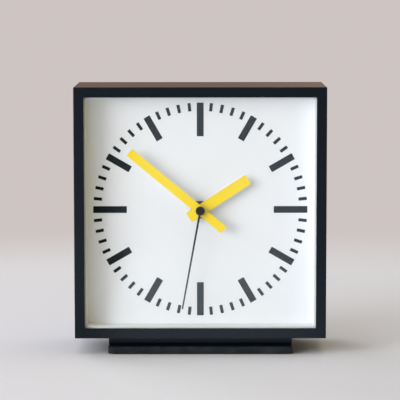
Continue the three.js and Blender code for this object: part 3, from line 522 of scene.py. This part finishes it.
def rod(name, start, end, radius, end_radius=None, sides=64):
    """A round bar, or a cone where its two radii differ."""
    start, end = Vector(start), Vector(end)
    bpy.ops.object.select_all(action="DESELECT")
    bpy.ops.mesh.primitive_cone_add(
        vertices=sides,
        radius1=radius,
        radius2=radius if end_radius is None else end_radius,
        depth=(end - start).length,
        location=(start + end) / 2,
    )
    bpy.context.object.rotation_euler = (end - start).to_track_quat("Z", "Y").to_euler()
    return settled(name)


def at_depth(y):
    """The point of the hands' axis at this depth."""
    return axis + Vector((0, y, 0))


@contextmanager
def editing(piece):
    alone(piece)
    bpy.ops.object.mode_set(mode="EDIT")
    yield
    bpy.ops.object.mode_set(mode="OBJECT")


def choose(piece, kind, test):
    """In edit mode, selects only the VERT, EDGE or FACE parts that pass the test."""
    bpy.ops.mesh.select_mode(type=kind)
    bpy.ops.mesh.select_all(action="DESELECT")
    mesh = bmesh.from_edit_mesh(piece.data)
    for part in {"VERT": mesh.verts, "EDGE": mesh.edges, "FACE": mesh.faces}[kind]:
        if test(part):
            part.select_set(True)
    bmesh.update_edit_mesh(piece.data)


def middle(part):
    return sum((corner.co for corner in part.verts), Vector()) / len(part.verts)


def runs_along(edge, letter):
    """True if the edge is parallel to that axis."""
    line = (edge.verts[1].co - edge.verts[0].co).normalized()
    return abs(getattr(line, letter)) > parallel


def extrude(x=0, y=0, z=0):
    """In edit mode, draws what is selected out by this much."""
    bpy.ops.mesh.extrude_region_move(TRANSFORM_OT_translate={"value": (x, y, z)})


def round_edges(piece, width, segments, test):
    """In edit mode, rounds the edges that pass the test."""
    choose(piece, "EDGE", test)
    bpy.ops.mesh.bevel(offset=width, segments=segments, affect="EDGES")


def use(piece, kind, **settings):
    """Adds a modifier with these settings and applies it."""
    alone(piece)
    modifier = piece.modifiers.new(kind.lower(), kind)
    for name, value in settings.items():
        setattr(modifier, name, value)
    bpy.ops.object.modifier_apply(modifier=modifier.name)


def ease(piece, width, segments=3):
    """Rounds every sharp edge a little."""
    limit = math.radians(sharp_angle)
    use(piece, "BEVEL", width=width, segments=segments, limit_method="ANGLE", angle_limit=limit)


def cut_away(piece, cutter):
    use(piece, "BOOLEAN", operation="DIFFERENCE", solver="EXACT", object=cutter)
    bpy.data.objects.remove(cutter)


def drill(piece, start, end, radius, end_radius=None, sides=48):
    cut_away(piece, rod("drill", start, end, radius, end_radius, sides))


def fused(piece, other):
    use(piece, "BOOLEAN", operation="UNION", solver="EXACT", object=other)
    bpy.data.objects.remove(other)


def joined(piece, *others):
    """Joins other meshes into this one."""
    alone(piece)
    for other in others:
        other.select_set(True)
    bpy.ops.object.join()
    return piece


def turned(piece, degrees, centre=axis):
    """Turns the mesh clockwise, as seen from the front, about a line along Y."""
    turn = Matrix.Rotation(math.radians(degrees), 4, "Y")
    piece.data.transform(Matrix.Translation(centre) @ turn @ Matrix.Translation(-centre))
    return piece


def copied(piece, name):
    twin = bpy.data.objects.new(name, piece.data.copy())
    bpy.context.scene.collection.objects.link(twin)
    return twin


def fit(piece, body, slot, *nodes, finish=None):
    """Smooths the piece's eased edges and keeps its flats flat, gives it its finish, and lets it
    ride on a body in place of these nodes."""
    alone(piece)
    bpy.ops.object.shade_smooth_by_angle(angle=math.radians(smooth_angle))
    use(piece, "WEIGHTED_NORMAL", keep_sharp=True)
    piece.data.materials.clear()
    piece.data.materials.append(finish or finishes[slot])
    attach(piece, body)
    if nodes:
        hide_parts(*nodes)


def carried_over(node, name, edge=0.0):
    """A copy of a CAD node: doubles merged, flat faces whole, edges eased."""
    piece = copied(frame["nodes"][node], name)
    with editing(piece):
        bpy.ops.mesh.select_all(action="SELECT")
        bpy.ops.mesh.remove_doubles(threshold=doubles)
        bpy.ops.mesh.dissolve_limited(angle_limit=math.radians(flat_angle))
    alone(piece)
    bpy.ops.mesh.customdata_custom_splitnormals_clear()
    if edge:
        ease(piece, edge, 2)
    return piece


def make_case():
    """One lacquered shell: the boards' mitres are glued, filled and sprayed over."""
    front, back = case_low.y, case_high.y
    bottom = front + lip_depth
    opening = case_half.x - frame_face
    rebate = case_half.x - board_thickness
    widen = rebate / opening
    inside = opening + edge_radius
    shell = block("case_shell", case_low, case_high)

    def lies_at(face, depth):
        return abs(middle(face).y - depth) < hair and abs(face.normal.y) > facing

    def in_opening(edge):
        return abs(middle(edge).x) < inside

    with editing(shell):
        choose(shell, "FACE", lambda face: face.normal.y < -facing)
        bpy.ops.mesh.inset(thickness=frame_face)
        extrude(y=lip_depth)
        round_edges(shell, opening_radius, 5, lambda edge: runs_along(edge, "y") and in_opening(edge))
        round_edges(shell, edge_radius, 5, lambda edge: runs_along(edge, "y") and not in_opening(edge))
        choose(shell, "FACE", lambda face: lies_at(face, bottom))
        extrude()
        bpy.ops.transform.resize(value=(widen, 1, widen), center_override=tuple(case_centre))
        extrude(y=back - bottom)
        choose(shell, "FACE", lambda face: lies_at(face, back))
        bpy.ops.mesh.delete(type="FACE")
        choose(shell, "EDGE", lambda edge: edge.is_boundary)
        bpy.ops.mesh.bridge_edge_loops()
        bpy.ops.mesh.select_all(action="SELECT")
        bpy.ops.mesh.normals_make_consistent(inside=False)
    ease(shell, edge_radius)
    boards = ["case_" + side + "_board" for side in ("top", "bottom", "left", "right")]
    fit(shell, "case", "black_lacquer", *boards)


def make_lining():
    """Four white strips, mitred where they meet."""
    low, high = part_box("lining_left")
    strip = block("lining_left_strip", low, high)
    with editing(strip):
        for end, slope in ((high.z, 1), (low.z, -1)):
            bpy.ops.mesh.select_all(action="SELECT")
            corner = (low.x, 0, end)
            bpy.ops.mesh.bisect(plane_co=corner, plane_no=(1, 0, slope), clear_outer=True, use_fill=True)
    ease(strip, rounding["lining"], 2)
    for turns, side in enumerate(("left", "top", "right", "bottom")):
        piece = copied(strip, f"lining_{side}_strip") if turns else strip
        turned(piece, 90 * turns, case_centre)
        fit(piece, "case", "white_plastic", "lining_" + side)


def make_glass():
    glass = block("glass_pane", *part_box("front_glass"))
    ease(glass, rounding["glass"], 1)
    fit(glass, "case", "clear_glass", "front_glass")


def make_dial():
    """A thin sheet, and its batons as one piece: long at the quarters, shorter at the other hours."""
    low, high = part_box("dial_plate")
    face = low.y + baton_rise
    sheet = block("dial_sheet", (low.x, face, low.z), high)
    drill(sheet, at_depth(face - past), at_depth(high.y + past), bush_hole)
    ease(sheet, rounding["dial"], 1)
    fit(sheet, "case", "dial_white", "dial_plate")

    def upright(width, length):
        top = axis.z + baton_reach
        bar = block("baton", (-width / 2, low.y, top - length), (width / 2, face + baton_root, top))
        ease(bar, rounding["baton"], 1)
        return bar

    kinds = [upright(*size) for size in (quarter_baton, hour_baton, minute_baton)]
    bars = []
    for minute in range(60):
        kind = 0 if minute % 15 == 0 else 1 if minute % 5 == 0 else 2
        bars.append(turned(copied(kinds[kind], "dial_batons"), minute_angle * minute))
    for kind in kinds:
        bpy.data.objects.remove(kind)
    batons = joined(*bars)
    batons.name = "dial_batons"
    fit(batons, "case", "dial_white", finish=ink)


def make_bar_hand(name, node, body, size):
    """A stamped bar with square ends, only primed on its back, pressed on its tube by a collar."""
    low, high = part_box(node)
    front, back = low.y, low.y + hand_thickness
    half = size["width"] / 2
    bar = block(name, (-half, front, axis.z - size["tail"]), (half, back, axis.z + size["reach"]))
    drill(bar, at_depth(front - past), at_depth(back + past), size["bore"])
    ease(bar, rounding["hand"], 2)
    collar = rod("collar", at_depth(back), at_depth(high.y), size["bore"] + collar_wall)
    drill(collar, at_depth(back - past), at_depth(high.y + past), size["bore"])
    turned(joined(bar, collar), size["angle"])
    fit(bar, body, "yellow_paint", node)
    bar.data.materials.append(primer)
    for face in bar.data.polygons:
        looks_back = face.normal.y > 0.5
        if looks_back or face.center.y > back:
            face.material_index = 1


def make_second_hand():
    """A tapered needle with its cap in front and its collar behind."""
    low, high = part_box("second_hand")
    front = low.y
    back = front + cap_height
    half = needle["root"] / 2
    tip = axis.z + needle["reach"]
    hand = block("second_hand_needle", (-half, back - needle["thickness"], axis.z), (half, back, tip))
    taper = needle["tip"] / needle["root"]
    with editing(hand):
        choose(hand, "FACE", lambda face: face.normal.z > facing)
        bpy.ops.transform.resize(value=(taper, 1, 1), center_override=(0, back, tip))
    ease(hand, rounding["needle"], 2)
    cap = rod("cap", at_depth(back), at_depth(front), cap_radius)
    with editing(cap):
        round_edges(cap, rounding["cap"], 4, lambda edge: abs(middle(edge).y - front) < hair)
    collar = rod("collar", at_depth(back), at_depth(high.y), pivot_bore + collar_wall, sides=32)
    drill(collar, at_depth(back + collar_floor), at_depth(high.y + past), pivot_bore)
    turned(joined(hand, cap, collar), needle["angle"])
    fit(hand, "seconds", "black_paint", "second_hand")


def screw_hole(piece, head, inward, screw, through):
    """A countersunk hole from the head's outer face, along the inward direction."""
    bore = screw["shank"] + screw_clearance
    mouth = screw["head"] + screw_clearance
    start, rim = head - inward * past, screw["rim"]
    point = rim + mouth - bore + screw_clearance
    drill(piece, start, head + inward * through, bore, sides=32)
    drill(piece, head + inward * rim, head + inward * point, mouth, bore, sides=32)
    drill(piece, start, head + inward * (rim + hair), mouth, sides=32)


def make_base():
    """Two lacquered boards with screw holes right through, countersunk in the slab, and the felt."""
    up = Vector((0, 0, 1))
    heads = []
    for number in range(1, 5):
        low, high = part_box(f"base_screw_{number}")
        heads.append(Vector(((low.x + high.x) / 2, (low.y + high.y) / 2, low.z)))
    for name, node in (("base_slab_board", "base_slab"), ("base_riser_board", "base_riser")):
        low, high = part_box(node)
        board = block(name, low, high)
        with editing(board):
            round_edges(board, edge_radius, 4, lambda edge: runs_along(edge, "z"))
        ease(board, edge_radius if node == "base_slab" else edge_radius / 2)
        for head in heads:
            if node == "base_slab":
                screw_hole(board, head, up, base_screw, high.z - low.z + past)
            else:
                start = Vector((head.x, head.y, low.z - past))
                bore = base_screw["shank"] + screw_clearance
                drill(board, start, start + up * (high.z - low.z + 2 * past), bore, sides=32)
        fit(board, "case", "black_lacquer", node)
    felt = block("felt_pad", *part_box("base_felt"))
    with editing(felt):
        round_edges(felt, felt_corner, 6, lambda edge: runs_along(edge, "z"))
    ease(felt, rounding["felt"], 2)
    fit(felt, "case", "black_felt", "base_felt")


def make_rear_panel():
    """A thin cover with a square window, round at its corners, and four countersunk holes."""
    low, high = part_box("rear_panel")
    panel = block("rear_cover", low, high)
    half = window_size / 2
    window_low = axis + Vector((-half, low.y - past, -half))
    window = block("window", window_low, axis + Vector((half, high.y + past, half)))
    with editing(window):
        round_edges(window, window_radius, 10, lambda edge: runs_along(edge, "y"))
    cut_away(panel, window)
    for corner in corners:
        screw_low, screw_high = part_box("rear_panel_screw_" + corner)
        centre_x = (screw_low.x + screw_high.x) / 2
        centre_z = (screw_low.z + screw_high.z) / 2
        head = Vector((centre_x, screw_high.y, centre_z))
        screw_hole(panel, head, Vector((0, -1, 0)), panel_screw, high.y - low.y + past)
    ease(panel, rounding["rear_panel"], 2)
    fit(panel, "case", "hardboard", "rear_panel")


def make_battery():
    """A cell in its film, with crimped ends, plus nub and flat button of bare steel."""
    low, high = battery_low, battery_high
    radius = (high.z - low.z) / 2
    line = Vector((0, (low.y + high.y) / 2, (low.z + high.z) / 2))
    minus_end = line + Vector((low.x + button_height, 0, 0))
    plus_end = line + Vector((high.x - nub_height, 0, 0))
    cell = rod("battery_cell", minus_end, plus_end, radius, sides=72)
    with editing(cell):
        for way, button, rise in ((1, nub_radius, nub_height), (-1, button_radius, button_height)):
            choose(cell, "FACE", lambda face: face.normal.x * way > facing)
            bpy.ops.mesh.inset(thickness=crimp_width)
            extrude(x=-way * crimp_depth)
            bpy.ops.mesh.inset(thickness=radius - crimp_width - button)
            extrude(x=way * (crimp_depth + rise))
    ease(cell, rounding["battery"], 3)
    fit(cell, "battery_cell", "battery_jacket", "battery")
    cell.data.materials.append(finishes["steel"])
    for face in cell.data.polygons:
        if math.hypot(face.center.y - line.y, face.center.z - line.z) < radius - film_overlap:
            face.material_index = 1


def make_rear_shell():
    """The movement's back in its CAD shape, with a notch for a finger under the battery and a raised
    ring round the knob."""
    low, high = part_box("movement_rear_shell")
    shell = carried_over("movement_rear_shell", "movement_rear_shell_piece")
    scoop = high.y + notch["behind"]
    drill(shell, (0, scoop, low.z - past), (0, scoop, battery_low.z), notch["radius"])
    knob_low, knob_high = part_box("setting_knob")
    centre = (knob_low + knob_high) / 2
    inner = (knob_high.x - knob_low.x) / 2 + ring["gap"]
    top = Vector((centre.x, high.y + ring["rise"], centre.z))
    foot = Vector((centre.x, high.y - sunk, centre.z))
    rim = rod("ring", foot, top, inner + ring["wall"])
    drill(rim, foot - Vector((0, past, 0)), top + Vector((0, past, 0)), inner, sides=64)
    ease(joined(shell, rim), rounding["rear_shell"], 2)
    fit(shell, "case", "black_plastic", "movement_rear_shell")


def make_polarity_marks():
    """A plus and a minus, raised on the shell beside the battery's ends."""
    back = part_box("movement_rear_shell")[1].y
    level = battery_high.z + polarity["above"]
    long, short = polarity["span"] / 2, polarity["stroke"] / 2

    def bar(name, x, half_width, half_height):
        low = (x - half_width, back - sunk, level - half_height)
        return block(name, low, (x + half_width, back + polarity["rise"], level + half_height))

    plus_x, minus_x = battery_high.x - polarity["inset"], battery_low.x + polarity["inset"]
    marks = bar("polarity_marks", plus_x, long, short)
    fused(marks, bar("upright", plus_x, short, long))
    joined(marks, bar("minus", minus_x, long, short))
    ease(marks, rounding["polarity"], 2)
    fit(marks, "case", "black_plastic")


def spread_nut(nut):
    """Widens the nut about the axis. Its bore stays."""
    with editing(nut):
        choose(nut, "VERT", lambda corner: (corner.co - axis).xz.length > nut_flank)
        bpy.ops.transform.resize(value=(nut_spread, 1, nut_spread), center_override=tuple(axis))


def carry_over_the_rest():
    """The other pieces that show keep their CAD shape, with merged faces and eased edges, and every
    node that still stands for itself gets its finish."""
    riders = frame["record"]["behaviour"]["bodies"]
    bodies = {node: body for body, nodes in riders.items() for node in nodes}
    slots = {part["node"]: part["material_slot"] for part in frame["record"]["subparts"]}
    for node, edge in kept_shapes.items():
        piece = carried_over(node, node + "_piece", edge)
        if node == "fixing_nut":
            spread_nut(piece)
        finish = dial_board_finish if node == "dial_board" else None
        fit(piece, bodies[node], slots[node], node, finish=finish)
    for node, part in frame["nodes"].items():
        if not part.hide_render:
            part.material_slots[0].material = finishes[slots[node]]


make_case()
make_lining()
make_glass()
make_dial()
make_bar_hand("hour_hand_bar", "hour_hand", "hours", hour_hand)
make_bar_hand("minute_hand_bar", "minute_hand", "minutes", minute_hand)
make_second_hand()
make_base()
make_rear_panel()
make_battery()
make_rear_shell()
make_polarity_marks()
carry_over_the_rest()


# Camera: two lengths in pixels, the sensor in millimetres, its place in metres, its turns in degrees
focal_pixels = 2122
image_pixels = 400
sensor = 36
camera_place = (0.0013, -1.5805, 0.2799)
camera_pitch = 6.116
camera_yaw = -0.05
camera_roll = -0.045
nearest_seen = 0.05


def make_camera():
    data = bpy.data.cameras.new("camera")
    data.sensor_width = sensor
    data.lens = focal_pixels / image_pixels * sensor
    data.clip_start = nearest_seen
    camera = bpy.data.objects.new("camera", data)
    camera.location = camera_place
    tilt = (90 - camera_pitch, -camera_roll, -camera_yaw)
    camera.rotation_euler = [math.radians(angle) for angle in tilt]
    bpy.context.scene.collection.objects.link(camera)
    bpy.context.scene.camera = camera


# Floor and backdrop. A fade's two numbers are where it starts and where it is full
backdrop = display(206, 197, 195)
floor_tone = display(216, 217, 219)
floor_radius = 1.2
floor_end = (0.4, 0.75)  # out from the middle: the floor fades into the backdrop

# Painted reflection: in front of the clock the floor glows with a sky tone that only polish sees, with a
# dim strip and a dim right side
painted_skylight = (0.9, 1.08, 1.22, 1)
dim_painted_reflection = (0.08, 0.1, 0.1, 1)
skylight_front = (-0.05, -0.12)
strip_middle = -0.095
strip_side = (0.014, 0.03)
skylight_right = (0.12, 0.07)

# What polish sees of the room, by the X, Y and Z of the way it looks: in front of the clock a bright
# field in the dark, with a dim patch in it, and behind the clock a warm tone, brighter on the right
dark_front = (0.005, 0.012, 0.012, 1)
bright_front = (0.6, 0.69, 0.81, 1)
field_left = (-0.052, -0.014)
field_right = (0.12, 0.065)
field_top = (0.0, -0.05)
patch_middle = (-0.001, -0.112)
patch_edge = (0.024, 0.006)
patch_depth = 0.45
behind_left = display(182, 149, 134)
behind_right = display(232, 202, 180)
behind_turn = (0.0, 0.15)
room_turn = (-0.2, 0.2)

# Fill, the light that comes from all sides
cool_fill = (0.95, 0.95, 1.13, 1)
warm_fill = (0.43, 0.32, 0.06, 1)
rear_fill = (0.6, 0.59, 0.6, 1)
side_turn = (-0.1, 0.1)
rear_turn = (-0.15, 0.15)

# Lamps: azimuth to the left of the dial's front, elevation, width and height in degrees, power in
# watts, distance in metres
daylight = (0.94, 0.96, 1.0)
lamps = {
    "window": (46, 11, 12, 34, 78, 5),
    "window_side": (61, 11, 18, 40, 134, 5),
    "front": (28, 13, 18, 34, 22, 5),
    "overhead": (0, 89, 40, 40, 4, 1.6),
    "rear": (140, 27, 30, 30, 70, 5),
}


def make_floor():
    """A pale round floor that fades into the backdrop's tone. In front of the clock it glows for polish
    alone: a painted reflection.
    """
    bpy.ops.object.select_all(action="DESELECT")
    bpy.ops.mesh.primitive_circle_add(vertices=96, radius=floor_radius, fill_type="NGON")
    floor = settled("floor")
    s = Surface("floor")
    x, y, _ = s.axes()
    solid = s.add("ShaderNodeBsdfPrincipled", inputs={"Base Color": floor_tone, "Roughness": 0.7})
    lit = s.fade(abs(x - strip_middle), *strip_side) * s.fade(x, *skylight_right)
    inputs = {"Color": s.mix(lit, dim_painted_reflection, painted_skylight), "Strength": 1.0}
    # painted reflection: a glow on the floor that only glossy rays see
    painted_sky_glow = s.add("ShaderNodeEmission", inputs=inputs)
    mirrored = s.add("ShaderNodeLightPath").output("Is Glossy Ray") * s.fade(y, *skylight_front)
    clear = s.add("ShaderNodeBsdfTransparent")
    end = s.fade((x * x + y * y) ** 0.5, *floor_end)
    floor.data.materials.append(s.show(s.blend(end, s.blend(mirrored, solid, painted_sky_glow), clear)))


def make_lamp(name, azimuth, elevation, width, height, power, distance):
    """A soft box aimed at the case."""
    data = bpy.data.lights.new(name, "AREA")
    data.shape = "RECTANGLE"
    sides = [2 * distance * math.tan(math.radians(angle / 2)) for angle in (width, height)]
    data.size, data.size_y = sides
    data.energy = power
    data.color = daylight
    lamp = bpy.data.objects.new(name, data)
    turn, lift = math.radians(azimuth), math.radians(elevation)
    way = Vector((-math.sin(turn) * math.cos(lift), -math.cos(turn) * math.cos(lift), math.sin(lift)))
    lamp.location = case_centre + way * distance
    lamp.rotation_euler = (-way).to_track_quat("-Z", "Y").to_euler()
    bpy.context.scene.collection.objects.link(lamp)


def room_tone(s, x, y, z):
    """The room as polish sees it."""
    across, down = x - patch_middle[0], z - patch_middle[1]
    patch = s.fade((across * across + down * down) ** 0.5, *patch_edge)
    field = s.fade(x, *field_right) * s.fade(x, *field_left) * s.fade(z, *field_top)
    front = s.mix(field * (1 - patch * patch_depth), dark_front, bright_front)
    behind = s.mix(s.fade(x, *behind_turn), behind_left, behind_right)
    return s.mix(s.fade(y, *room_turn), front, behind)


def make_world():
    """Fill, cool from the front left and warm from the front right. The camera sees the pale backdrop,
    and polish the room."""
    s = Surface("studio", bpy.data.worlds.new("studio"))
    way = s.add("ShaderNodeSeparateXYZ", inputs={0: s.add("ShaderNodeTexCoord", output="Generated")})
    x, y, z = [way.output(name) for name in "XYZ"]
    path = s.add("ShaderNodeLightPath")
    camera_ray, glossy_ray = path.output("Is Camera Ray"), path.output("Is Glossy Ray")
    seen = s.mix(camera_ray, room_tone(s, x, y, z), backdrop)
    fill = s.mix(s.fade(x, *side_turn), cool_fill, warm_fill)
    fill = s.mix(s.fade(y, *rear_turn), fill, rear_fill)
    tone = s.mix(largest(camera_ray, glossy_ray), fill, seen)
    light = s.add("ShaderNodeBackground", inputs={"Color": tone, "Strength": 1})
    bpy.context.scene.world = s.show(light, "ShaderNodeOutputWorld")


make_camera()
make_floor()
make_world()
for lamp_name, values in lamps.items():
    make_lamp(lamp_name, *values)
bpy.context.scene.view_settings.view_transform = "Standard"
